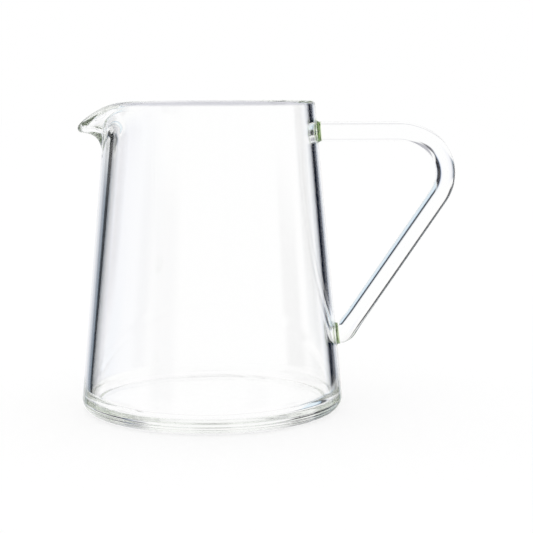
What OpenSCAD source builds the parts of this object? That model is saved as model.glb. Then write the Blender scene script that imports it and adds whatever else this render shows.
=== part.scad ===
// Coffee server carafe: a one-handed glass jug with a drawn pouring lip.
// Lengths are in millimetres and angles in degrees.
// The origin is on the vessel's axis, on the surface that the jug stands on.
// +X points to the handle, -X to the spout and +Z up.

/* [Vessel] */
// Diameter that the tapered wall would reach at the standing surface
base_d = 101; // [88:0.5:116]
// Diameter of the rim
rim_d = 78.9; // [66:0.1:86]
// Height from the standing surface to the rim
body_h = 117.8; // [108:0.1:135]
// Thickness of the side wall
wall_t = 3.35; // [2.4:0.05:4.6]
// Thickness of the floor
floor_t = 4.5; // [3:0.1:7]
// Radius of the rounded outer heel
heel_r = 4.8; // [3:0.1:6.5]
// Radius of the rounded corner inside, between floor and wall
corner_r = 4.5; // [2.5:0.1:7]

/* [Spout] */
// How far the tip of the lip stands out past the widest part of the foot
lip_overhang = 0.3; // [-3:0.1:3]
// How far the tip of the lip hangs below the rim
spout_drop = 8.6; // [5:0.1:12]
// Height of wall, down from the rim, that the inner face of the lip's middle is drawn from
spout_depth = 14.5; // [13.5:0.1:24]
// Height of wall that the outer face is drawn from there, which thickens the lip's root
root_depth = 22.1; // [16:0.1:28]
// Height of wall that the far sides of the lip are drawn from
side_depth = 6; // [5:0.1:9]
// Height below the rim at which the lip bends out of the wall
knee_depth = 8.8; // [8:0.1:12]
// How much lower still it bends in its middle
knee_drop = 2.1; // [0:0.1:3]
// Angle about the vessel's axis over which the reach fades
reach_spread = 16.6; // [12:0.1:19]
// Angle about the vessel's axis over which the drop fades
drop_spread = 14.1; // [11:0.1:18]
// Angle about the vessel's axis over which the drawn height of wall fades to that of the sides
depth_spread = 11; // [9:0.1:14]
// Angle about the vessel's axis over which the tip is rounded
tip_round = 4; // [2:0.1:7]

/* [Handle] */
// Diameter of the glass rod
rod_d = 7.5; // [5.5:0.05:8.5]
// Diameter of the rod's swollen lower end
foot_d = 8.2; // [7.5:0.1:9.5]
// Length of straight rod that the swelling grows along
swell_l = 6; // [2:0.5:14]
// Distance from the rim down to the middle of the rod's level top run
grip_drop = 11.8; // [11:0.1:21]
// Furthest reach of the rod's centre from the vessel's axis
grip_reach = 89.1; // [80:0.05:100]
// Radius of the first, wider stretch of the top bend
wide_bend_r = 20.5; // [18:0.1:26]
// Radius of the second, tighter stretch of the top bend
tight_bend_r = 15.3; // [12:0.1:17]
// Angle that the wider stretch turns through
wide_bend_turn = 32; // [24:1:40]
// Radius of the small bend above the lower end
foot_bend_r = 5; // [4.8:0.1:8]
// Straight stub between that bend and the wall
foot_stub = 0.5; // [0.3:0.1:2]
// Height at which the rod's lower end meets the wall
foot_h = 28.5; // [22:0.1:40]

/* [Welds] */
// Width of the fused fillet round the rod's upper end
upper_fillet = 1.4; // [0.8:0.1:2.4]
// Width of the fused fillet round the rod's lower end
lower_fillet = 1; // [0.6:0.1:2]

/* [Hidden] */

// Facets on a full circle
$fn = 96;

// How sharply the lip fades towards its sides
fade_power = 1.36;
// Half of the angle about the axis that carries the finely spaced columns
fine_span = 45;
// Columns of points across the lip, and round the rest of the wall
fine_columns = 60;
coarse_columns = 54;
// Steps along the drawn stretch of the wall, and round the rim
draw_steps = 9;
rim_steps = 6;
// Sides of the handle's rod and of the fillets round its ends
rod_sides = 24;
// Steps round the rod's three bends, along its swelling, and across a fillet
wide_bend_steps = 12;
tight_bend_steps = 20;
foot_bend_steps = 10;
swell_steps = 4;
fillet_steps = 5;

base_r = base_d / 2;
rim_r = rim_d / 2;
rod_r = rod_d / 2;
foot_r = foot_d / 2;
// Angle that the wall leans in from the upright
lean = atan((base_r - rim_r) / body_h);
// Wall thickness measured level, across the lean
level_t = wall_t / cos(lean);
// Height that a cutting outline runs on past a face
overrun = wall_t / 2;
// Height of the level seam between base and wall, above both rounded corners
seam_h = max(heel_r * (1 + sin(lean)), floor_t + corner_r * (1 + sin(lean)));
// Height of the middle of the rounded rim
rim_mid_h = body_h - wall_t / 2;
// Height of the middle of the rod's level top run
grip_h = body_h - grip_drop;

// Radius of the wall's outer face at height z.
function outer_r(z) = base_r - z * tan(lean);

// Radius of the middle of the wall at height z.
function middle_r(z) = outer_r(z) - level_t / 2;

// Radius of the widest part of the foot, just above the rounded heel
widest_r = base_r - heel_r * (tan(lean) + 1 / cos(lean) - 1);
// How far the lip is drawn out from the rim, so that its tip stands over the foot's edge
spout_reach = widest_r + lip_overhang - wall_t / 2 - middle_r(rim_mid_h);

// Height below the rim of the middle of the far sides' drawn part
side_knee = (side_depth + wall_t / 2) / 2;

// Strength of the lip at angle a from its middle, 1 there and 0 far away.
function fade(a, spread) =
    exp(-pow((sqrt(a * a + tip_round * tip_round) - tip_round) / spread, fade_power));

// Point and direction at share s of a curve with three control points.
function curve_at(p, s) =
    (1 - s) * (1 - s) * p[0] + 2 * s * (1 - s) * p[1] + s * s * p[2];
function heading_at(p, s) =
    let (d = 2 * (1 - s) * (p[1] - p[0]) + 2 * s * (p[2] - p[1]))
    d / norm(d);

// Control points of the line that a face of the wall runs beside, at angle a from the lip.
// That face is drawn from the given depth in the lip's middle.
function draw_points(a, depth) =
    let (
        deepening = fade(a, depth_spread),
        start_h = body_h - side_depth - (depth - side_depth) * deepening,
        drop = fade(a, drop_spread),
        knee_h = body_h - side_knee - (knee_depth - side_knee) * deepening - knee_drop * drop
    )
    [
        [middle_r(start_h), start_h],
        [middle_r(knee_h), knee_h],
        [middle_r(rim_mid_h) + spout_reach * fade(a, reach_spread), rim_mid_h - spout_drop * drop]
    ];

// Point beside such a line: side is 1 for the outer face and -1 for the inner.
function beside(p, s, side) =
    let (h = heading_at(p, s))
    curve_at(p, s) + side * wall_t / 2 * [h[1], -h[0]];

// Closed outline of the wall at angle a from the lip: up outside, round the rim, down inside.
function wall_outline(a) =
    let (
        outer = draw_points(a, root_depth),
        inner = draw_points(a, spout_depth),
        h = heading_at(inner, 1)
    )
    concat(
        [[outer_r(seam_h), seam_h]],
        [for (k = [0 : draw_steps]) beside(outer, k / draw_steps, 1)],
        [for (k = [1 : rim_steps - 1])
            let (t = 90 - 180 * k / rim_steps)
            inner[2] + wall_t / 2 * (cos(t) * h + sin(t) * [h[1], -h[0]])],
        [for (k = [0 : draw_steps]) beside(inner, 1 - k / draw_steps, -1)],
        [[outer_r(seam_h) - level_t, seam_h]]
    );

// Angles of the wall's columns, counted from the middle of the lip.
column_angles = concat(
    [for (k = [0 : fine_columns - 1]) -fine_span + 2 * fine_span * k / fine_columns],
    [for (k = [0 : coarse_columns - 1]) fine_span + (360 - 2 * fine_span) * k / coarse_columns]
);

// Faces of a closed band of equal point rings, where the last ring may join the first.
function band_faces(rings, sides, closed) =
    [
        for (i = [0 : rings - (closed ? 1 : 2)])
            for (j = [0 : sides - 1])
                let (
                    next_i = (i + 1) % rings,
                    next_j = (j + 1) % sides,
                    a = i * sides + j,
                    b = i * sides + next_j,
                    c = next_i * sides + next_j,
                    d = next_i * sides + j
                )
                each [[a, b, c], [a, c, d]]
    ];

// Tapered side wall with its fire-polished rim and the drawn lip.
module body_wall() {
    outlines = [for (a = column_angles) wall_outline(a)];
    points = [
        for (i = [0 : len(column_angles) - 1])
            for (p = outlines[i])
                [-p[0] * cos(column_angles[i]), -p[0] * sin(column_angles[i]), p[1]]
    ];
    faces = band_faces(len(column_angles), len(outlines[0]), true);
    color([0.86, 0.92, 0.94, 0.4])
        polyhedron(points = points, faces = faces, convexity = 6);
}

// Half-plane outline of a vertical-axis dish: level bottom, rounded corner, leaning side.
module dish_outline(bottom_r, bottom_h, round_r, top_h) {
    // Middle of the rounded corner, which touches the level bottom and the leaning side.
    side_r = bottom_r - bottom_h * tan(lean);
    mid_h = bottom_h + round_r;
    mid_r = side_r - round_r * tan(lean) - round_r / cos(lean);
    polygon(concat(
        [[0, bottom_h], [mid_r, bottom_h]],
        [for (t = [-84 : 6 : 0])
            [mid_r + round_r * cos(t), mid_h + round_r * sin(t)]],
        [
            [mid_r + round_r * cos(lean), mid_h + round_r * sin(lean)],
            [bottom_r - top_h * tan(lean), top_h],
            [0, top_h]
        ]
    ));
}

// Thick floor with its rounded heel and the foot of the wall.
module base() {
    color([0.8, 0.89, 0.88, 0.45])
        rotate_extrude()
            difference() {
                dish_outline(base_r, 0, heel_r, seam_h);
                dish_outline(base_r - level_t, floor_t, corner_r, seam_h + overrun);
            }
}

// Places on the handle's centre line are worked out in its own X and Z plane.
grip_point = [outer_r(grip_h), grip_h];
foot_point = [outer_r(foot_h), foot_h];
// Outward direction of the wall, and the direction up along it.
out_dir = [cos(lean), sin(lean)];
up_dir = [-sin(lean), cos(lean)];
// Middles of the three bends.
foot_bend_mid = foot_point + foot_stub * out_dir + foot_bend_r * up_dir;
tight_bend_mid = [
    grip_reach - tight_bend_r,
    grip_h - wide_bend_r + (wide_bend_r - tight_bend_r) * cos(wide_bend_turn)
];
wide_bend_mid = [
    tight_bend_mid[0] - (wide_bend_r - tight_bend_r) * sin(wide_bend_turn),
    grip_h - wide_bend_r
];
// Slope of the straight run that touches the tight bend and the foot bend.
bend_gap = tight_bend_mid - foot_bend_mid;
run_slope = atan2(bend_gap[1], bend_gap[0]) + asin((foot_bend_r - tight_bend_r) / norm(bend_gap));
run_dir = [cos(run_slope), sin(run_slope)];

// Station of the rod: a point, the angle of its outer side, and its radius there.
function station(point, side, r) = [point, side, r];

// Point at angle a of a bend.
function bend_point(mid, bend_r, a) = mid + bend_r * [cos(a), sin(a)];

// Radius at share s of the way along the swelling, which starts and ends without a step.
function swell_r(s) = rod_r + (foot_r - rod_r) * s * s * (3 - 2 * s);

// Stations from the upper end, round the bends, to the lower end.
rod_stations =
    let (
        wide_end = 90 - wide_bend_turn,
        run_side = run_slope - 90,
        foot_side = lean - 90,
        run_foot = bend_point(foot_bend_mid, foot_bend_r, run_side),
        bend_l = foot_bend_r * (run_side - foot_side) * PI / 180,
        grow_l = swell_l + bend_l
    )
    concat(
        [station(grip_point, 90, rod_r)],
        [for (k = [0 : wide_bend_steps])
            let (a = 90 + (wide_end - 90) * k / wide_bend_steps)
            station(bend_point(wide_bend_mid, wide_bend_r, a), a, rod_r)],
        [for (k = [1 : tight_bend_steps])
            let (a = wide_end + (run_side - wide_end) * k / tight_bend_steps)
            station(bend_point(tight_bend_mid, tight_bend_r, a), a, rod_r)],
        [for (k = [0 : swell_steps - 1])
            let (left = swell_l * (1 - k / swell_steps))
            station(run_foot + left * run_dir, run_side, swell_r((swell_l - left) / grow_l))],
        [for (k = [0 : foot_bend_steps])
            let (
                a = run_side + (foot_side - run_side) * k / foot_bend_steps,
                along = swell_l + bend_l * k / foot_bend_steps
            )
            station(bend_point(foot_bend_mid, foot_bend_r, a), a, swell_r(along / grow_l))],
        [station(foot_point, foot_side, foot_r)]
    );

// Point beside a station at angle t round the rod, at distance r from its centre line.
function round_point(st, t, r) =
    [
        st[0][0] + r * cos(t) * cos(st[1]),
        r * sin(t),
        st[0][1] + r * cos(t) * sin(st[1])
    ];

// Where a line from point p, along d in the X and Z plane, meets the wall's outer face.
function wall_hit(p, d) =
    let (
        k = tan(lean),
        reach = base_r - k * p[2],
        a = d[0] * d[0] - k * k * d[1] * d[1],
        b = 2 * (p[0] * d[0] + k * d[1] * reach),
        c = p[0] * p[0] + p[1] * p[1] - reach * reach,
        t = (sqrt(b * b - 4 * a * c) - b) / (2 * a)
    )
    [p[0] + t * d[0], p[1], p[2] + t * d[1]];

// Bent glass rod that the hand closes round, with both ends fitted to the wall.
module handle() {
    last = len(rod_stations) - 1;
    turns = [for (j = [0 : rod_sides - 1]) 360 * j / rod_sides];
    points = concat(
        [for (i = [0 : last])
            for (t = turns)
                let (p = round_point(rod_stations[i], t, rod_stations[i][2]))
                i == 0 ? wall_hit(p, [1, 0]) : i == last ? wall_hit(p, out_dir) : p],
        [
            wall_hit([grip_point[0], 0, grip_point[1]], [1, 0]),
            wall_hit([foot_point[0], 0, foot_point[1]], out_dir)
        ]
    );
    first_mid = len(points) - 2;
    faces = concat(
        band_faces(last + 1, rod_sides, false),
        [for (j = [0 : rod_sides - 1])
            [first_mid, (j + 1) % rod_sides, j]],
        [for (j = [0 : rod_sides - 1])
            [first_mid + 1, last * rod_sides + j, last * rod_sides + (j + 1) % rod_sides]]
    );
    color([0.84, 0.92, 0.95, 0.45])
        polyhedron(points = points, faces = faces, convexity = 4);
}

// Hollow fillet of fused glass in the corner between the wall and a station of the rod.
module fused_ring(st, d, fillet) {
    r = st[2];
    back = fillet * [d[0], 0, d[1]];
    points = [
        for (j = [0 : rod_sides - 1])
            let (
                t = 360 * j / rod_sides,
                corner = wall_hit(round_point(st, t, r), d),
                on_rod = corner + back,
                on_wall = wall_hit(round_point(st, t, r + fillet), d),
                bow = [on_rod, corner, on_wall]
            )
            each concat([corner], [for (k = [0 : fillet_steps]) curve_at(bow, k / fillet_steps)])
    ];
    polyhedron(points = points, faces = band_faces(rod_sides, fillet_steps + 2, true), convexity = 4);
}

// Fused glass round the rod's upper end.
module upper_weld() {
    color([0.55, 0.68, 0.42, 0.5])
        fused_ring(rod_stations[0], [1, 0], upper_fillet);
}

// Fused glass round the rod's lower end.
module lower_weld() {
    color([0.55, 0.68, 0.42, 0.5])
        fused_ring(rod_stations[len(rod_stations) - 1], out_dir, lower_fillet);
}

body_wall();
base();
handle();
upper_weld();
lower_weld();
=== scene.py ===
"""Looks of a clear glass coffee server with a rod handle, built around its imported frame.

Lengths are in metres. The origin is on the vessel's axis, on the surface that the jug
stands on, with +X towards the handle, -X towards the pouring lip and +Z up.
"""

from __future__ import annotations

import logging
import math
from dataclasses import dataclass
from enum import Enum
from typing import Any, Sequence

import bmesh
import bpy
from mathutils import Matrix, Vector


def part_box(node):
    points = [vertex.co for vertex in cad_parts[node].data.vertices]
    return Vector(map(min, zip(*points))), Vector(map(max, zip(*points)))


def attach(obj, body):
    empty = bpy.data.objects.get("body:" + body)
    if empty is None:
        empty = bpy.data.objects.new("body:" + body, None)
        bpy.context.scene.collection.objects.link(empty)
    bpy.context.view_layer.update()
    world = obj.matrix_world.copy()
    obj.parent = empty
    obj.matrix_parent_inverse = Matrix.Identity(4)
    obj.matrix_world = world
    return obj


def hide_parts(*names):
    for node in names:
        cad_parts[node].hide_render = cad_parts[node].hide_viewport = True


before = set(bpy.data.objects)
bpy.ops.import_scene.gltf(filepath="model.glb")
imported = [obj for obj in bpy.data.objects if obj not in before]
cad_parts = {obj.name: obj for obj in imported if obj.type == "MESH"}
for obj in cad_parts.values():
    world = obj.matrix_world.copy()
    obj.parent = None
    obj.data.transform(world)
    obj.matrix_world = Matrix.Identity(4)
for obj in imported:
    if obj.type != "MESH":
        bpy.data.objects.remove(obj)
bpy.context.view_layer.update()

LOG = logging.getLogger("carafe")
BODY = "root"
FULL_TURN = 2 * math.pi
ORIGIN = Vector((0, 0, 0))
X_AXIS = Vector((1, 0, 0))
Y_AXIS = Vector((0, 1, 0))
Z_AXIS = Vector((0, 0, 1))
# Points closer together than this are one point.
MERGE_GAP = 1e-6


class Slot(Enum):
    """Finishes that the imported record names."""

    VESSEL = "vessel_glass"
    HANDLE = "handle_glass"
    WELD = "weld_glass"


def linear(shade: float) -> float:
    """Returns the light that a display shade from 0 to 1 stands for."""
    return shade / 12.92 if shade <= 0.04045 else ((shade + 0.055) / 1.055) ** 2.4


def linear_colour(shades: Sequence[float]) -> tuple[float, float, float, float]:
    """Returns the opaque light colour of three display shades."""
    red, green, blue = (linear(shade) for shade in shades)
    return red, green, blue, 1.0


class Wiring:
    """Adds nodes to one node tree and links them as they are added."""

    def __init__(self, tree: bpy.types.NodeTree) -> None:
        """Takes over an emptied node tree.

        Args:
            tree: The tree that the nodes are added to.
        """
        self.tree = tree
        tree.nodes.clear()

    def add(self, kind: str, inputs: dict[Any, Any] | None = None, **settings: Any) -> bpy.types.Node:
        """Adds a node.

        Args:
            kind: Blender's name for the type of node.
            inputs: What each named or numbered input holds: a value, or a socket to link.
            settings: Properties of the node itself.

        Returns:
            The new node.
        """
        node = self.tree.nodes.new(kind)
        for name, value in settings.items():
            setattr(node, name, value)
        for key, value in (inputs or {}).items():
            if isinstance(value, bpy.types.NodeSocket):
                self.tree.links.new(value, node.inputs[key])
            else:
                node.inputs[key].default_value = value
        return node

    def sum(self, operation: str, *terms: Any, clamp: bool = False) -> bpy.types.NodeSocket:
        """Adds a Math node.

        Args:
            operation: Blender's name for the operation.
            terms: Numbers or sockets that it works on.
            clamp: Whether the result is kept from 0 to 1.

        Returns:
            The socket with the result.
        """
        node = self.add("ShaderNodeMath", dict(enumerate(terms)), operation=operation, use_clamp=clamp)
        return node.outputs[0]

    def smooth_step(self, value: Any, start: Any, end: Any) -> bpy.types.NodeSocket:
        """Adds a smooth ramp from 0 at start to 1 at end.

        Args:
            value: Socket that runs along the ramp.
            start: Value at which the ramp leaves 0.
            end: Value at which it reaches 1.

        Returns:
            The socket with the ramp's height.
        """
        node = self.add(
            "ShaderNodeMapRange",
            {"Value": value, "From Min": start, "From Max": end},
            interpolation_type="SMOOTHSTEP",
        )
        return node.outputs["Result"]

    def ramp(self, factor: Any, stops: Sequence[tuple[float, tuple[float, ...]]]) -> bpy.types.NodeSocket:
        """Adds a Color Ramp node.

        Args:
            factor: Socket that picks the place along the ramp, from 0 to 1.
            stops: Place and light colour of each stop, in order.

        Returns:
            The socket with the colour.
        """
        node = self.add("ShaderNodeValToRGB", {"Fac": factor})
        elements = node.color_ramp.elements
        while len(elements) < len(stops):
            elements.new(1.0)
        for element, (place, colour) in zip(elements, stops):
            element.position = place
            element.color = colour
        return node.outputs["Color"]


@dataclass(frozen=True)
class WallLine:
    """Straight taper of the side wall, which the lip, the rod and its welds are set out from."""

    foot_r: float = 0.0505
    rim_r: float = 0.03945
    height: float = 0.1178
    thickness: float = 0.00335

    @property
    def lean(self) -> float:
        """Angle that the wall leans in from the upright."""
        return math.atan((self.foot_r - self.rim_r) / self.height)

    @property
    def outward(self) -> Vector:
        """Direction square to the wall's outer face, on the handle's side."""
        return Vector((math.cos(self.lean), 0, math.sin(self.lean)))

    @property
    def upward(self) -> Vector:
        """Direction up along the wall, on the handle's side."""
        return Vector((-math.sin(self.lean), 0, math.cos(self.lean)))

    @property
    def rim_middle_h(self) -> float:
        """Height of the middle of the rounded rim."""
        return self.height - self.thickness / 2

    def outer_r(self, height: float) -> float:
        """Radius of the wall's outer face at a height."""
        return self.foot_r - height * math.tan(self.lean)

    def middle_r(self, height: float) -> float:
        """Radius of the middle of the wall at a height."""
        return self.outer_r(height) - self.thickness / 2 / math.cos(self.lean)

    def meet(self, point: Vector, heading: Vector, depth: float) -> Vector:
        """Moves a point along a heading in the X and Z plane until it lies in the wall.

        Args:
            point: Point that is moved.
            heading: Direction with no Y part, pointing away from the wall.
            depth: How far below the wall's outer face the point ends.

        Returns:
            The point in the wall.
        """
        taper = math.tan(self.lean)
        reach = self.foot_r - depth / math.cos(self.lean) - taper * point.z
        square = heading.x**2 - (taper * heading.z) ** 2
        slope = 2 * (point.x * heading.x + taper * heading.z * reach)
        rest = point.x**2 + point.y**2 - reach**2
        step = (math.sqrt(slope**2 - 4 * square * rest) - slope) / (2 * square)
        return point + step * heading


@dataclass(frozen=True)
class Glass:
    """Clear drawn glass: its colour in depth, the faint waves that drawing leaves, and, where asked, a
    painted shade at the rim.
    """

    name: str
    depth_shades: tuple[float, float, float]
    depth_density: float
    wave_height: float
    wave_size: float
    wave_stretch: float = 0.25
    refraction: float = 1.47
    # Height of the rim, below which a painted shade darkens the glass's colour in a band to stand in for
    # the grey that the rounded rim refracts, or 0 for none.
    rim_h: float = 0.0
    rim_painted_shade: tuple[float, float, float] = (0.8, 0.8, 0.83)
    # How far below the rim the painted shade starts, is full, and starts to clear again.
    rim_start: float = 0.0022
    rim_full: float = 0.0011
    rim_crest: float = 0.0009

    def material(self) -> bpy.types.Material:
        """Builds the material.

        Returns:
            The material, which reads Object coordinates.
        """
        made = bpy.data.materials.new(self.name)
        made.use_nodes = True
        wiring = Wiring(made.node_tree)
        place = wiring.add("ShaderNodeTexCoord").outputs["Object"]
        waves = wiring.add(
            "ShaderNodeGroup",
            {"Place": place, "Size": self.wave_size, "Stretch": self.wave_stretch},
            node_tree=drawn_waves(),
        )
        bump = wiring.add(
            "ShaderNodeBump",
            {"Strength": 1.0, "Distance": self.wave_height, "Height": waves.outputs["Height"]},
        )
        surface = wiring.add(
            "ShaderNodeBsdfPrincipled",
            {
                "Base Color": self._painted_rim_shade(wiring, place) if self.rim_h else (1, 1, 1, 1),
                "Roughness": 0.0,
                "IOR": self.refraction,
                "Transmission Weight": 1.0,
                "Normal": bump.outputs["Normal"],
            },
        )
        depth = wiring.add(
            "ShaderNodeVolumeAbsorption",
            {"Color": linear_colour(self.depth_shades), "Density": self.depth_density},
        )
        wiring.add(
            "ShaderNodeOutputMaterial",
            {"Surface": surface.outputs["BSDF"], "Volume": depth.outputs["Volume"]},
        )
        return made

    def _painted_rim_shade(self, wiring: Wiring, place: Any) -> bpy.types.NodeSocket:
        """Adds the painted shade of the rim to a material: a darker glass colour in a band just below the
        rim.

        Args:
            wiring: The material's nodes.
            place: Socket with the Object coordinates.

        Returns:
            The socket with the colour of the glass, white below the rim.
        """
        # Painted shade: the glass's colour darkens in a band below the rim, standing in for the grey that
        # the rounded rim refracts.
        height = wiring.add("ShaderNodeSeparateXYZ", {"Vector": place}).outputs["Z"]
        start = wiring.smooth_step(height, self.rim_h - self.rim_start, self.rim_h - self.rim_full)
        end = wiring.smooth_step(height, self.rim_h, self.rim_h - self.rim_crest)
        mask = wiring.sum("MULTIPLY", start, end)
        mix = wiring.add(
            "ShaderNodeMix",
            {"Factor": mask, "A": (1, 1, 1, 1), "B": linear_colour(self.rim_painted_shade)},
            data_type="RGBA",
        )
        return mix.outputs["Result"]


def drawn_waves() -> bpy.types.NodeTree:
    """Builds the waves of drawn glass once and returns their node group.

    Returns:
        The group, with a place, a size and a stretch for inputs and a height for output.
    """
    name = "drawn_waves"
    if name in bpy.data.node_groups:
        return bpy.data.node_groups[name]
    group = bpy.data.node_groups.new(name, "ShaderNodeTree")
    sockets = group.interface
    sockets.new_socket("Place", in_out="INPUT", socket_type="NodeSocketVector")
    sockets.new_socket("Size", in_out="INPUT", socket_type="NodeSocketFloat")
    sockets.new_socket("Stretch", in_out="INPUT", socket_type="NodeSocketFloat")
    sockets.new_socket("Height", in_out="OUTPUT", socket_type="NodeSocketFloat")
    wiring = Wiring(group)
    given = wiring.add("NodeGroupInput").outputs
    squash = wiring.add("ShaderNodeCombineXYZ", {"X": 1.0, "Y": 1.0, "Z": given["Stretch"]})
    flat = wiring.add(
        "ShaderNodeVectorMath",
        {0: given["Place"], 1: squash.outputs["Vector"]},
        operation="MULTIPLY",
    )
    noise = wiring.add(
        "ShaderNodeTexNoise",
        {
            "Vector": flat.outputs["Vector"],
            "Scale": wiring.sum("DIVIDE", 1.0, given["Size"]),
            "Detail": 1.0,
        },
    )
    wiring.add("NodeGroupOutput", {"Height": noise.outputs["Fac"]})
    return group


def finished_piece(
    name: str, mesh: bmesh.types.BMesh, material: bpy.types.Material, nodes: Sequence[str]
) -> bpy.types.Object:
    """Turns a built mesh into a piece that rides on the frame.

    Args:
        name: Name of the piece.
        mesh: Closed mesh, which is freed.
        material: Finish of the whole piece.
        nodes: CAD nodes that the piece stands for.

    Returns:
        The finished object.
    """
    bmesh.ops.remove_doubles(mesh, verts=mesh.verts[:], dist=MERGE_GAP)
    bmesh.ops.recalc_face_normals(mesh, faces=mesh.faces[:])
    for face in mesh.faces:
        face.smooth = True
    data = bpy.data.meshes.new(name)
    mesh.to_mesh(data)
    mesh.free()
    data.materials.append(material)
    piece = bpy.data.objects.new(name, data)
    bpy.context.scene.collection.objects.link(piece)
    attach(piece, BODY)
    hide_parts(*nodes)
    LOG.info("%s: %d faces, for %s", name, len(data.polygons), ", ".join(nodes))
    return piece


def ring_vertices(ring: Sequence[Any]) -> list[bmesh.types.BMVert]:
    """Returns the vertices in a ring of mixed vertices and edges."""
    return [part for part in ring if isinstance(part, bmesh.types.BMVert)]


def ring_edges(ring: Sequence[Any]) -> list[bmesh.types.BMEdge]:
    """Returns the edges in a ring of mixed vertices and edges."""
    return [part for part in ring if isinstance(part, bmesh.types.BMEdge)]


def next_ring(mesh: bmesh.types.BMesh, ring: Sequence[Any]) -> list[Any]:
    """Draws a new ring out of a ring's edges.

    Args:
        mesh: Mesh that both rings are in.
        ring: Vertices and edges of the ring that is extruded.

    Returns:
        The new ring's vertices and edges, which still lie on the old ones.
    """
    drawn = bmesh.ops.extrude_edge_only(mesh, edges=ring_edges(ring))["geom"]
    return ring_vertices(drawn) + ring_edges(drawn)


@dataclass(frozen=True)
class Lip:
    """Pouring lip that is drawn out of the wall's top edge."""

    wall: WallLine
    reach: float
    drop: float = 0.0086
    # Drawn height of wall in the lip's middle: on the inner face, and on the outer one.
    depth: float = 0.0145
    root_depth: float = 0.0221
    knee_depth: float = 0.0088
    knee_drop: float = 0.0021
    # Depth of the drawn part far from the lip's middle.
    side_depth: float = 0.006
    reach_spread: float = math.radians(16.6)
    drop_spread: float = math.radians(14.1)
    depth_spread: float = math.radians(11)
    tip_round: float = math.radians(4)
    fade_power: float = 1.36

    def fade(self, angle: float, spread: float) -> float:
        """Strength of the lip at an angle from its middle, 1 there and 0 far away."""
        off = math.hypot(angle, self.tip_round) - self.tip_round
        return math.exp(-((off / spread) ** self.fade_power))

    def control_points(self, angle: float, depth: float) -> tuple[Vector, Vector, Vector]:
        """Gives the curve that a face of the wall runs beside, in one half plane through the axis.

        Args:
            angle: Angle of the half plane, counted from the middle of the lip.
            depth: Drawn height of that face in the lip's middle.

        Returns:
            Three control points, each a radius and a height.
        """
        drop = self.fade(angle, self.drop_spread)
        reach = self.fade(angle, self.reach_spread)
        deepening = self.fade(angle, self.depth_spread)
        side_knee = (self.side_depth + self.wall.thickness / 2) / 2
        start_h = self.wall.height - self.side_depth - (depth - self.side_depth) * deepening
        knee_h = self.wall.height - side_knee - (self.knee_depth - side_knee) * deepening
        knee_h -= self.knee_drop * drop
        rim_h = self.wall.rim_middle_h
        return (
            Vector((self.wall.middle_r(start_h), start_h)),
            Vector((self.wall.middle_r(knee_h), knee_h)),
            Vector((self.wall.middle_r(rim_h) + self.reach * reach, rim_h - self.drop * drop)),
        )

    def drawn(self, radius: float, height: float, angle: float) -> tuple[float, float]:
        """Moves a point of the straight wall to where the lip has it.

        Args:
            radius: The point's distance from the vessel's axis.
            height: The point's height.
            angle: Its angle from the middle of the lip.

        Returns:
            Its new radius and height.
        """
        depth = self.root_depth if radius > self.wall.middle_r(height) else self.depth
        start, knee, end = self.control_points(angle, depth)
        upward = Vector((-math.sin(self.wall.lean), math.cos(self.wall.lean)))
        outward = Vector((upward.y, -upward.x))
        length = (end.y + self.drop * self.fade(angle, self.drop_spread) - start.y) / upward.y
        offset = Vector((radius, height)) - start
        share = offset.dot(upward) / length
        if share <= 0:
            return radius, height
        bent = min(share, 1.0)
        heading = ((1 - bent) * (knee - start) + bent * (end - knee)).normalized()
        middle = (1 - bent) ** 2 * start + 2 * bent * (1 - bent) * knee + bent**2 * end
        middle += (share - bent) * length * heading
        middle += offset.dot(outward) * Vector((heading.y, -heading.x))
        return middle.x, middle.y


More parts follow.
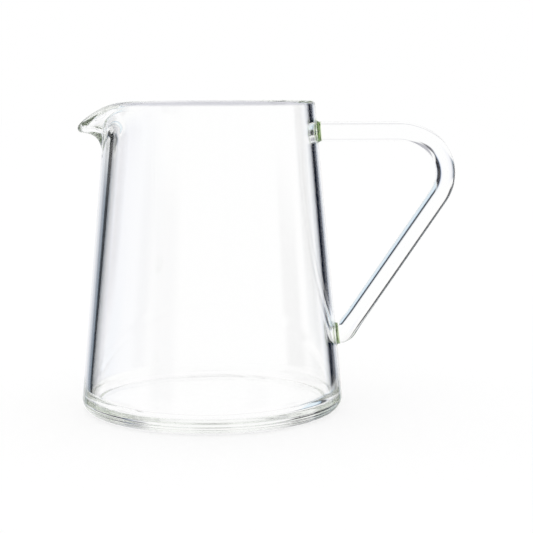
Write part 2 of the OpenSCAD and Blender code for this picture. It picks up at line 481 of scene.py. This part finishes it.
@dataclass(frozen=True)
class Vessel:
    """Tapered glass body with its thick floor, rounded heel and drawn lip, in one skin."""

    wall: WallLine
    lip: Lip
    floor_t: float = 0.0045
    heel_r: float = 0.0048
    corner_r: float = 0.0045
    columns: int = 288
    # Share by which the columns stand closer together at the lip than on average.
    crowding: float = 0.55
    arc_steps: int = 14
    rim_steps: int = 9
    lip_step: float = 0.0005
    wall_step: float = 0.005
    # Slope of the drawn bore towards the handle, and how far it lies off the axis at its foot.
    bore_lean: float = 0.0068
    bore_shift: float = -0.0002

    def make(self, glass: bpy.types.Material) -> bpy.types.Object:
        """Builds and dresses the skin, which stands for the wall and the base."""
        return finished_piece("vessel", self.build(), glass, ("body_wall", "base"))

    def build(self) -> bmesh.types.BMesh:
        """Builds the closed skin.

        Returns:
            The mesh, standing on the X and Y plane.
        """
        mesh = bmesh.new()
        self._outline(mesh)
        bmesh.ops.spin(
            mesh,
            geom=mesh.verts[:] + mesh.edges[:],
            cent=ORIGIN,
            axis=Z_AXIS,
            angle=FULL_TURN,
            steps=self.columns,
            use_merge=True,
        )
        bmesh.ops.remove_doubles(mesh, verts=mesh.verts[:], dist=MERGE_GAP)
        for vertex in mesh.verts:
            vertex.co = self._place(vertex.co)
        return mesh

    def _outline(self, mesh: bmesh.types.BMesh) -> None:
        """Draws the half outline of floor and wall in the X and Z plane.

        Args:
            mesh: Empty mesh that takes the outline.
        """
        wall = self.wall
        half = wall.thickness / 2
        start_h = wall.height - self.lip.root_depth
        rim = Vector((wall.middle_r(wall.rim_middle_h), 0, wall.rim_middle_h)) + half * wall.upward
        start = Vector((wall.middle_r(start_h), 0, start_h))
        inner_r = wall.middle_r(self.floor_t) - half / math.cos(wall.lean)
        points = [
            mesh.verts.new(place)
            for place in (
                ORIGIN,
                Vector((wall.foot_r, 0, 0)),
                start + half * wall.outward,
                rim + half * wall.outward,
                rim - half * wall.outward,
                start - half * wall.outward,
                Vector((inner_r, 0, self.floor_t)),
                Vector((0, 0, self.floor_t)),
            )
        ]
        for first, second in zip(points, points[1:]):
            mesh.edges.new((first, second))
        _, heel, _, outer_rim, inner_rim, _, corner, _ = points
        # Share of its radius that a rounding's tangent points lie from the corner's point.
        turn_share = math.tan((math.pi / 2 + wall.lean) / 2)
        roundings = (
            (heel, self.heel_r * turn_share, self.arc_steps),
            (corner, self.corner_r * turn_share, self.arc_steps),
            (outer_rim, half - MERGE_GAP, self.rim_steps),
            (inner_rim, half - MERGE_GAP, self.rim_steps),
        )
        for point, offset, segments in roundings:
            bmesh.ops.bevel(
                mesh,
                geom=[point],
                offset=offset,
                offset_type="OFFSET",
                segments=segments,
                profile=0.5,
                affect="VERTICES",
                material=-1,
            )
        for edge in mesh.edges[:]:
            drawn = min(vertex.co.z for vertex in edge.verts) > start_h - MERGE_GAP
            cuts = int(edge.calc_length() / (self.lip_step if drawn else self.wall_step))
            if cuts:
                bmesh.ops.subdivide_edges(mesh, edges=[edge], cuts=cuts)

    def _place(self, point: Vector) -> Vector:
        """Crowds a point's column towards the lip and draws it out with the lip.

        Args:
            point: Point of the evenly spun, undrawn skin.

        Returns:
            Its final place.
        """
        angle = math.atan2(-point.y, -point.x)
        angle -= self.crowding * math.sin(angle)
        radius = math.hypot(point.x, point.y)
        depth = (self.wall.outer_r(point.z) - radius) * math.cos(self.wall.lean)
        inside = min(1.0, max(0.0, depth / self.wall.thickness))
        if point.z < self.floor_t - MERGE_GAP:
            inside = 0.0
        reached, height = self.lip.drawn(radius, point.z, angle)
        # The drawn lip keeps its even thickness.
        inside *= max(0.0, 1.0 - max(0.0, reached - radius) / self.lip.reach)
        shift = self.bore_shift + self.bore_lean * point.z
        across = shift * inside - reached * math.cos(angle)
        return Vector((across, -reached * math.sin(angle), height))


@dataclass(frozen=True)
class Handle:
    """Bent glass rod, from the wall below the rim round the hand and back to the wall."""

    wall: WallLine
    top_h: float
    reach: float
    rod_r: float = 0.00375
    foot_r: float = 0.0041
    swell_length: float = 0.006
    wide_bend_r: float = 0.0205
    tight_bend_r: float = 0.0153
    wide_bend_turn: float = math.radians(32)
    foot_bend_r: float = 0.005
    foot_stub: float = 0.0005
    foot_h: float = 0.0285
    # How far the rod's ends reach into the wall's glass.
    sink: float = 0.0004
    sides: int = 64
    # Length of rod between two rings on the bends.
    bend_step: float = 0.0006
    swell_steps: int = 10
    cap_shares: tuple[float, ...] = (0.8, 0.55, 0.3)

    @property
    def grip_h(self) -> float:
        """Height of the middle of the level top run."""
        return self.top_h - self.rod_r

    @property
    def grip_point(self) -> Vector:
        """Point on the wall that the top run starts from."""
        return Vector((self.wall.outer_r(self.grip_h), 0, self.grip_h))

    @property
    def foot_point(self) -> Vector:
        """Point on the wall that the lower end reaches."""
        return Vector((self.wall.outer_r(self.foot_h), 0, self.foot_h))

    def make(self, glass: bpy.types.Material) -> bpy.types.Object:
        """Builds and dresses the rod."""
        return finished_piece("handle_rod", self.build(), glass, ("handle",))

    def build(self) -> bmesh.types.BMesh:
        """Builds the rod along its centre line.

        Returns:
            The closed mesh, with both ends sunk into the wall.
        """
        wall = self.wall
        sin, cos = math.sin(self.wide_bend_turn), math.cos(self.wide_bend_turn)
        tighter = self.wide_bend_r - self.tight_bend_r
        wide_h = self.grip_h - self.wide_bend_r
        tight_middle = Vector((self.reach - self.rod_r - self.tight_bend_r, 0, wide_h + tighter * cos))
        wide_middle = Vector((tight_middle.x - tighter * sin, 0, wide_h))
        foot_middle = self.foot_point + self.foot_stub * wall.outward + self.foot_bend_r * wall.upward
        gap = tight_middle - foot_middle
        slope = math.atan2(gap.z, gap.x) + math.asin((self.foot_bend_r - self.tight_bend_r) / gap.length)
        run = Vector((math.cos(slope), 0, math.sin(slope)))
        run_side = Vector((run.z, 0, -run.x))
        tight_turn = math.pi - self.wide_bend_turn - slope
        foot_turn = slope + wall.lean
        foot_length = self.foot_bend_r * foot_turn
        mesh = bmesh.new()
        start = Matrix.Translation(self.grip_point) @ Matrix.Rotation(math.pi / 2, 4, "Y")
        bmesh.ops.create_circle(mesh, segments=self.sides, radius=self.rod_r, matrix=start)
        first = mesh.verts[:] + mesh.edges[:]
        ring = self._run(mesh, first, (wide_middle.x - self.grip_point.x) * X_AXIS)
        ring = self._bend(mesh, ring, wide_middle, self.wide_bend_r, self.wide_bend_turn)
        ring = self._bend(mesh, ring, tight_middle, self.tight_bend_r, tight_turn)
        here = tight_middle + self.tight_bend_r * run_side
        there = foot_middle + self.foot_bend_r * run_side
        ring = self._run(mesh, ring, there + self.swell_length * run - here)
        for step in range(self.swell_steps):
            ring = self._run(mesh, ring, -self.swell_length / self.swell_steps * run)
            along = self.swell_length * (step + 1) / self.swell_steps
            self._widen(mesh, ring, along / (self.swell_length + foot_length))
        steps = round(foot_length / self.bend_step)
        for step in range(steps):
            ring = self._bend(mesh, ring, foot_middle, self.foot_bend_r, foot_turn / steps, 1)
            along = self.swell_length + foot_length * (step + 1) / steps
            self._widen(mesh, ring, along / (self.swell_length + foot_length))
        ring = self._run(mesh, ring, -self.foot_stub * wall.outward)
        self._close(mesh, first, X_AXIS)
        self._close(mesh, ring, wall.outward)
        return mesh

    def _run(self, mesh: bmesh.types.BMesh, ring: Sequence[Any], move: Vector) -> list[Any]:
        """Draws a straight run of rod from a ring.

        Args:
            mesh: The rod's mesh.
            ring: The ring that the run starts from.
            move: The run's direction and length.

        Returns:
            The ring at the end of the run.
        """
        drawn = next_ring(mesh, ring)
        bmesh.ops.translate(mesh, vec=move, verts=ring_vertices(drawn))
        return drawn

    def _bend(
        self,
        mesh: bmesh.types.BMesh,
        ring: Sequence[Any],
        middle: Vector,
        radius: float,
        angle: float,
        steps: int = 0,
    ) -> list[Any]:
        """Draws a bend of rod from a ring.

        Args:
            mesh: The rod's mesh.
            ring: The ring that the bend starts from.
            middle: Middle of the bend.
            radius: Radius of the rod's centre line on the bend.
            angle: Angle that the rod turns through.
            steps: Rings that it takes, or 0 for as many as the rod's step asks for.

        Returns:
            The ring at the end of the bend.
        """
        return bmesh.ops.spin(
            mesh,
            geom=ring,
            cent=middle,
            axis=Y_AXIS,
            angle=angle,
            steps=steps or round(radius * angle / self.bend_step),
            use_merge=False,
        )["geom_last"]

    def _widen(self, mesh: bmesh.types.BMesh, ring: Sequence[Any], share: float) -> None:
        """Gives a ring its radius in the swelling, which starts and ends without a step.

        Args:
            mesh: The rod's mesh.
            ring: The ring that is widened.
            share: The ring's place along the swelling, from 0 to 1.
        """
        points = ring_vertices(ring)
        middle = sum((point.co for point in points), Vector()) / len(points)
        radius = self.rod_r + (self.foot_r - self.rod_r) * share * share * (3 - 2 * share)
        growth = radius / (points[0].co - middle).length
        bmesh.ops.scale(
            mesh, vec=Vector((growth,) * 3), space=Matrix.Translation(-middle), verts=points
        )

    def _close(self, mesh: bmesh.types.BMesh, ring: Sequence[Any], heading: Vector) -> None:
        """Sinks an end ring into the wall and closes it with a face that follows the wall.

        Args:
            mesh: The rod's mesh.
            ring: The end ring.
            heading: Direction of the rod away from the wall.
        """
        points = ring_vertices(ring)
        middle = sum((point.co for point in points), Vector()) / len(points)
        for point in points:
            point.co = self.wall.meet(point.co, heading, self.sink)
        middle = self.wall.meet(middle, heading, self.sink)
        for edge in ring_edges(ring):
            edge.smooth = False
        rims = [point.co.copy() for point in points]
        for share in self.cap_shares:
            ring = next_ring(mesh, ring)
            for point in ring_vertices(ring):
                rim = min(rims, key=lambda place: (place - point.co).length_squared)
                point.co = self.wall.meet(middle.lerp(rim, share), heading, self.sink)
            rims = [point.co.copy() for point in ring_vertices(ring)]
        ring = next_ring(mesh, ring)
        bmesh.ops.pointmerge(mesh, verts=ring_vertices(ring), merge_co=middle)


@dataclass(frozen=True)
class Weld:
    """Fillet of fused glass in the corner between the wall and one end of the rod."""

    name: str
    node: str
    wall: WallLine
    middle: Vector
    heading: Vector
    rod_r: float
    width: float
    # How far the fillet's feet dip into the wall's and the rod's glass.
    sink: float = 0.00015
    sides: int = 64
    fillet_steps: int = 8

    def make(self, glass: bpy.types.Material) -> bpy.types.Object:
        """Builds and dresses the fillet."""
        return finished_piece(self.name, self.build(), glass, (self.node,))

    def build(self) -> bmesh.types.BMesh:
        """Builds the hollow ring.

        Returns:
            The closed mesh.
        """
        mesh = bmesh.new()
        turn = X_AXIS.rotation_difference(self.heading).to_matrix().to_4x4()
        start = Matrix.Translation(self.middle) @ turn @ Matrix.Rotation(math.pi / 2, 4, "Y")
        bmesh.ops.create_circle(mesh, segments=self.sides, radius=self.rod_r, matrix=start)
        corner = mesh.verts[:] + mesh.edges[:]
        self._place(corner, self.rod_r - self.sink, 0.0)
        ring = corner
        for step in range(self.fillet_steps + 1):
            share = step / self.fillet_steps
            ring = next_ring(mesh, ring)
            radius = self.rod_r - self.sink * (1 - share) + self.width * share**2
            self._place(ring, radius, self.sink * (1 - share) + self.width * (1 - share) ** 2)
            if share in (0, 1):
                self._crease(ring)
        self._crease(corner)
        bmesh.ops.bridge_loops(mesh, edges=ring_edges(ring) + ring_edges(corner))
        return mesh

    def _crease(self, ring: Sequence[Any]) -> None:
        """Keeps the shading sharp across a ring."""
        for edge in ring_edges(ring):
            edge.smooth = False

    def _place(self, ring: Sequence[Any], radius: float, back: float) -> None:
        """Moves a ring to its radius round the rod and its distance from the wall.

        Args:
            ring: The ring that is moved.
            radius: Its distance from the rod's centre line.
            back: How far it stands back from the sunk foot of the fillet, along the rod.
        """
        for point in ring_vertices(ring):
            offset = point.co - self.middle
            offset -= offset.dot(self.heading) * self.heading
            spot = self.middle + radius * offset.normalized()
            point.co = self.wall.meet(spot, self.heading, self.sink) + back * self.heading


@dataclass(frozen=True)
class Panel:
    """Shaded part of the white surroundings, which only the glass shows.

    Angles are degrees. Azimuth 0 lies along +Y and 90 along +X.
    """

    # Elevations of its foot and top.
    lowest: float
    highest: float
    # Azimuth, counted from the one below, and the display shade there.
    shades: tuple[tuple[float, tuple[float, float, float]], ...]
    azimuth: float = 0.0
    # Angle over which it fades out below its foot and above its top.
    softness: float = 6.0

    def light(self, wiring: Wiring, azimuth: Any, elevation: Any) -> bpy.types.NodeSocket:
        """Adds the panel to the world.

        Args:
            wiring: The world's nodes.
            azimuth: Socket with a direction's azimuth.
            elevation: Socket with its elevation.

        Returns:
            The socket with the panel's colour, which is white clear of it.
        """
        first, last = self.shades[0][0], self.shades[-1][0]
        off = wiring.sum("WRAP", wiring.sum("SUBTRACT", azimuth, self.azimuth), 180.0, -180.0)
        across = wiring.sum("DIVIDE", wiring.sum("SUBTRACT", off, first), last - first, clamp=True)
        stops = [((angle - first) / (last - first), linear_colour(shade)) for angle, shade in self.shades]
        colour = wiring.ramp(across, stops)
        above = wiring.smooth_step(elevation, self.lowest - self.softness, self.lowest)
        below = wiring.smooth_step(elevation, self.highest + self.softness, self.highest)
        share = wiring.sum("MULTIPLY", above, below)
        mix = wiring.add(
            "ShaderNodeMix", {"Factor": share, "A": (1, 1, 1, 1), "B": colour}, data_type="RGBA"
        )
        return mix.outputs["Result"]


def flag(
    first: float,
    last: float,
    shade: float,
    lowest: float,
    highest: float,
    soft: float = 4.0,
    softness: float = 6.0,
) -> Panel:
    """Returns a plain panel of one shade.

    Args:
        first: Azimuth at which its shade starts.
        last: Azimuth at which it ends.
        shade: Its display shade.
        lowest: Elevation of its foot.
        highest: Elevation of its top.
        soft: Azimuth over which each side fades out.
        softness: Elevation over which its foot and top fade out.

    Returns:
        The panel.
    """
    white, dark = (1.0, 1.0, 1.0), (shade, shade, min(1.0, shade + 0.03))
    middle = (first + last) / 2
    half = (last - first) / 2
    shades = ((-half - soft, white), (-half, dark), (half, dark), (half + soft, white))
    return Panel(lowest, highest, shades, middle, softness)


PANELS = (
    # Left of the bright backdrop, where it falls off.
    Panel(
        lowest=-14.0,
        highest=-1.0,
        shades=(
            (-61.0, (1.0, 1.0, 1.0)),
            (-56.0, (0.45, 0.52, 0.58)),
            (-40.0, (0.45, 0.52, 0.58)),
            (-36.0, (0.52, 0.58, 0.64)),
            (-31.0, (0.63, 0.67, 0.72)),
            (-29.0, (0.74, 0.765, 0.805)),
            (-27.0, (0.83, 0.84, 0.865)),
            (-25.0, (0.89, 0.895, 0.915)),
            (-21.0, (0.915, 0.92, 0.94)),
            (-19.0, (0.972, 0.972, 0.988)),
            (-13.0, (0.97, 0.973, 0.988)),
            (-9.5, (0.985, 0.988, 0.997)),
            (-6.0, (1.0, 1.0, 1.0)),
        ),
        softness=3.0,
    ),
    # Dark flag on the left.
    Panel(
        lowest=-11.0,
        highest=10.0,
        shades=(
            (-62.0, (1.0, 1.0, 1.0)),
            (-59.0, (0.82, 0.83, 0.85)),
            (-57.0, (0.46, 0.48, 0.52)),
            (-55.0, (0.0, 0.01, 0.03)),
            (-39.0, (0.0, 0.01, 0.03)),
            (-38.0, (0.25, 0.27, 0.3)),
            (-37.0, (0.8, 0.82, 0.85)),
            (-36.3, (1.0, 1.0, 1.0)),
        ),
        softness=3.0,
    ),
    # The same flag higher up and, further round, lower down.
    flag(-95.0, -28.0, 0.0, 10.0, 42.0, 3.0),
    flag(-98.0, -76.0, 0.05, -50.0, -15.0, 4.0),
    # Dark flag on the right, with a blue-grey wall beyond it.
    Panel(
        lowest=-10.0,
        highest=8.0,
        shades=(
            (14.0, (1.0, 1.0, 1.0)),
            (20.0, (0.98, 0.985, 1.0)),
            (22.0, (0.86, 0.885, 0.93)),
            (24.0, (0.6, 0.64, 0.72)),
            (25.0, (0.42, 0.48, 0.57)),
            (26.0, (0.24, 0.3, 0.4)),
            (27.0, (0.02, 0.06, 0.16)),
            (29.0, (0.0, 0.02, 0.09)),
            (45.0, (0.0, 0.02, 0.09)),
            (47.0, (0.34, 0.4, 0.5)),
            (49.0, (0.75, 0.79, 0.86)),
            (51.0, (0.94, 0.96, 0.99)),
            (54.0, (1.0, 1.0, 1.0)),
        ),
        softness=4.0,
    ),
    # The same flag higher up, where it thins out.
    flag(19.0, 25.0, 0.4, 11.0, 16.0, 3.0),
    flag(24.0, 50.0, 0.7, 22.0, 40.0, 5.0),
    # The same flag lower down, narrow before a pale blue wall.
    Panel(
        lowest=-40.0,
        highest=-15.0,
        shades=(
            (19.0, (1.0, 1.0, 1.0)),
            (22.5, (0.8, 0.82, 0.85)),
            (24.5, (0.03, 0.05, 0.08)),
            (29.5, (0.03, 0.06, 0.11)),
            (31.5, (0.65, 0.75, 0.84)),
            (36.0, (0.89, 0.945, 0.98)),
            (58.0, (0.9, 0.95, 0.98)),
            (70.0, (1.0, 1.0, 1.0)),
        ),
        softness=4.0,
    ),
    # Dark ceiling, far above.
    flag(-179.0, 179.0, 0.1, 80.0, 90.0, 0.5, 3.0),
    # Front and back edges of the table and of the ceiling's diffuser.
    flag(-30.0, 30.0, 0.75, -38.5, -37.0, 10.0, 1.0),
    flag(-30.0, 30.0, 0.75, 37.0, 38.5, 10.0, 1.0),
    # Flags that line the glass from its other sides.
    flag(-143.0, -129.0, 0.75, -3.0, 5.0, 8.0, 3.0),
    flag(93.0, 102.0, 0.6, -32.0, -14.0, 8.0),
)


@dataclass(frozen=True)
class Studio:
    """Plain white studio: pale floor, soft light, bright panels and the camera."""

    bounces: int = 200
    fill_light: float = 0.75
    floor_r: float = 6.0
    floor_gap: float = 0.0002
    floor_shade: float = 0.32
    lamp_power: float = 1.5
    lamp_size: float = 1.2
    lamp_place: Vector = Vector((-0.5, -0.6, 1.6))
    camera_place: Vector = Vector((0.02096, -0.5438, 0.1198))
    camera_pitch: float = -0.1195
    camera_roll: float = -0.0034
    camera_lens: float = 96.5

    def build(self) -> None:
        """Builds the camera, the light and the floor."""
        scene = bpy.context.scene
        scene.view_settings.view_transform = "Standard"
        # Light turns many times in the thick floor before it leaves the glass.
        for limit in ("max_bounces", "transmission_bounces", "glossy_bounces"):
            setattr(scene.cycles, limit, self.bounces)
        self._camera(scene)
        self._world(scene)
        self._lamp(scene)
        self._floor(scene)

    def _camera(self, scene: bpy.types.Scene) -> None:
        """Stands the camera where the jug is seen from."""
        data = bpy.data.cameras.new("camera")
        data.lens = self.camera_lens
        data.clip_start = 0.01
        camera = bpy.data.objects.new("camera", data)
        turn = Matrix.Rotation(math.pi / 2 + self.camera_pitch, 4, "X")
        turn @= Matrix.Rotation(self.camera_roll, 4, "Z")
        camera.matrix_world = Matrix.Translation(self.camera_place) @ turn
        scene.collection.objects.link(camera)
        scene.camera = camera

    def _world(self, scene: bpy.types.Scene) -> None:
        """Lights the scene evenly, and shows the glass the panels and flags round it."""
        world = bpy.data.worlds.new("studio")
        world.use_nodes = True
        scene.world = world
        wiring = Wiring(world.node_tree)
        direction = wiring.add("ShaderNodeTexCoord").outputs["Generated"]
        parts = wiring.add("ShaderNodeSeparateXYZ", {"Vector": direction}).outputs
        azimuth = wiring.sum("DEGREES", wiring.sum("ARCTAN2", parts["X"], parts["Y"]))
        elevation = wiring.sum("DEGREES", wiring.sum("ARCSINE", parts["Z"]))
        colour = None
        for panel in PANELS:
            seen = panel.light(wiring, azimuth, elevation)
            if colour is None:
                colour = seen
                continue
            both = wiring.add(
                "ShaderNodeMix",
                {"Factor": 1.0, "A": colour, "B": seen},
                data_type="RGBA",
                blend_type="MULTIPLY",
            )
            colour = both.outputs["Result"]
        ray = wiring.add("ShaderNodeLightPath").outputs
        through = wiring.sum("MAXIMUM", ray["Is Glossy Ray"], ray["Is Transmission Ray"])
        panels = wiring.add("ShaderNodeBackground", {"Color": colour, "Strength": 1.0})
        fill = wiring.add("ShaderNodeBackground", {"Color": (1, 1, 1, 1), "Strength": self.fill_light})
        white = wiring.add("ShaderNodeBackground", {"Color": (1, 1, 1, 1), "Strength": 1.0})
        lit = wiring.add("ShaderNodeMixShader", {0: through, 1: fill.outputs[0], 2: panels.outputs[0]})
        shown = wiring.add(
            "ShaderNodeMixShader", {0: ray["Is Camera Ray"], 1: lit.outputs[0], 2: white.outputs[0]}
        )
        wiring.add("ShaderNodeOutputWorld", {"Surface": shown.outputs[0]})

    def _lamp(self, scene: bpy.types.Scene) -> None:
        """Hangs one soft lamp above, which only the floor and other dull surfaces see."""
        data = bpy.data.lights.new("soft_lamp", "AREA")
        data.energy = self.lamp_power
        data.size = self.lamp_size
        lamp = bpy.data.objects.new("soft_lamp", data)
        lamp.matrix_world = Matrix.Translation(self.lamp_place) @ (
            self.lamp_place.to_track_quat("Z", "Y").to_matrix().to_4x4()
        )
        lamp.visible_glossy = False
        lamp.visible_transmission = False
        scene.collection.objects.link(lamp)

    def _floor(self, scene: bpy.types.Scene) -> None:
        """Lays the pale floor, which keeps the jug's shadow and lets the glass show the panels."""
        mesh = bmesh.new()
        bmesh.ops.create_grid(
            mesh,
            x_segments=1,
            y_segments=1,
            size=self.floor_r,
            matrix=Matrix.Translation(-self.floor_gap * Z_AXIS),
        )
        data = bpy.data.meshes.new("floor")
        mesh.to_mesh(data)
        mesh.free()
        material = bpy.data.materials.new("pale_floor")
        material.use_nodes = True
        wiring = Wiring(material.node_tree)
        shade = self.floor_shade
        dull = wiring.add("ShaderNodeBsdfDiffuse", {"Color": (shade, shade, shade, 1)})
        ray = wiring.add("ShaderNodeLightPath").outputs
        lift = wiring.sum("MULTIPLY", ray["Is Camera Ray"], 1.0 - shade * self.fill_light)
        glow = wiring.add("ShaderNodeEmission", {"Color": (1, 1, 1, 1), "Strength": lift})
        seen = wiring.add("ShaderNodeAddShader", {0: dull.outputs[0], 1: glow.outputs[0]})
        clear = wiring.add("ShaderNodeBsdfTransparent")
        through = wiring.sum("MAXIMUM", ray["Is Glossy Ray"], ray["Is Transmission Ray"])
        surface = wiring.add("ShaderNodeMixShader", {0: through, 1: seen.outputs[0], 2: clear.outputs[0]})
        wiring.add("ShaderNodeOutputMaterial", {"Surface": surface.outputs[0]})
        data.materials.append(material)
        floor = bpy.data.objects.new("floor", data)
        scene.collection.objects.link(floor)


def main() -> None:
    """Builds the studio and the jug's pieces in order."""
    logging.basicConfig(level=logging.INFO, format="%(name)s: %(message)s")
    Studio().build()
    wall = WallLine()
    tip_reach = -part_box("body_wall")[0].x
    rim_reach = wall.middle_r(wall.rim_middle_h) + wall.thickness / 2
    lip = Lip(wall=wall, reach=tip_reach - rim_reach)
    handle_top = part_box("handle")[1]
    handle = Handle(wall=wall, top_h=handle_top.z, reach=handle_top.x)
    upper = Weld(
        name="upper_fillet",
        node="upper_weld",
        wall=wall,
        middle=handle.grip_point,
        heading=X_AXIS,
        rod_r=handle.rod_r,
        width=0.0014,
    )
    lower = Weld(
        name="lower_fillet",
        node="lower_weld",
        wall=wall,
        middle=handle.foot_point,
        heading=wall.outward,
        rod_r=handle.foot_r,
        width=0.001,
    )
    vessel_glass = Glass(
        name="vessel_glass",
        depth_shades=(0.94, 0.95, 0.93),
        depth_density=3.5,
        wave_height=0.00001,
        wave_size=0.012,
        # The rim gets a painted shade in its glass colour, for the grey that the rounded rim refracts.
        rim_h=wall.height,
    ).material()
    handle_glass = Glass(
        name="handle_glass",
        depth_shades=(0.93, 0.95, 0.94),
        depth_density=3.0,
        wave_height=0.000004,
        wave_size=0.008,
    ).material()
    weld_glass = Glass(
        name="weld_glass",
        depth_shades=(0.71, 0.83, 0.2),
        depth_density=5000.0,
        wave_height=0.00002,
        wave_size=0.003,
    ).material()
    Vessel(wall=wall, lip=lip).make(vessel_glass)
    handle.make(handle_glass)
    upper.make(weld_glass)
    lower.make(weld_glass)


if __name__ == "__main__":
    main()
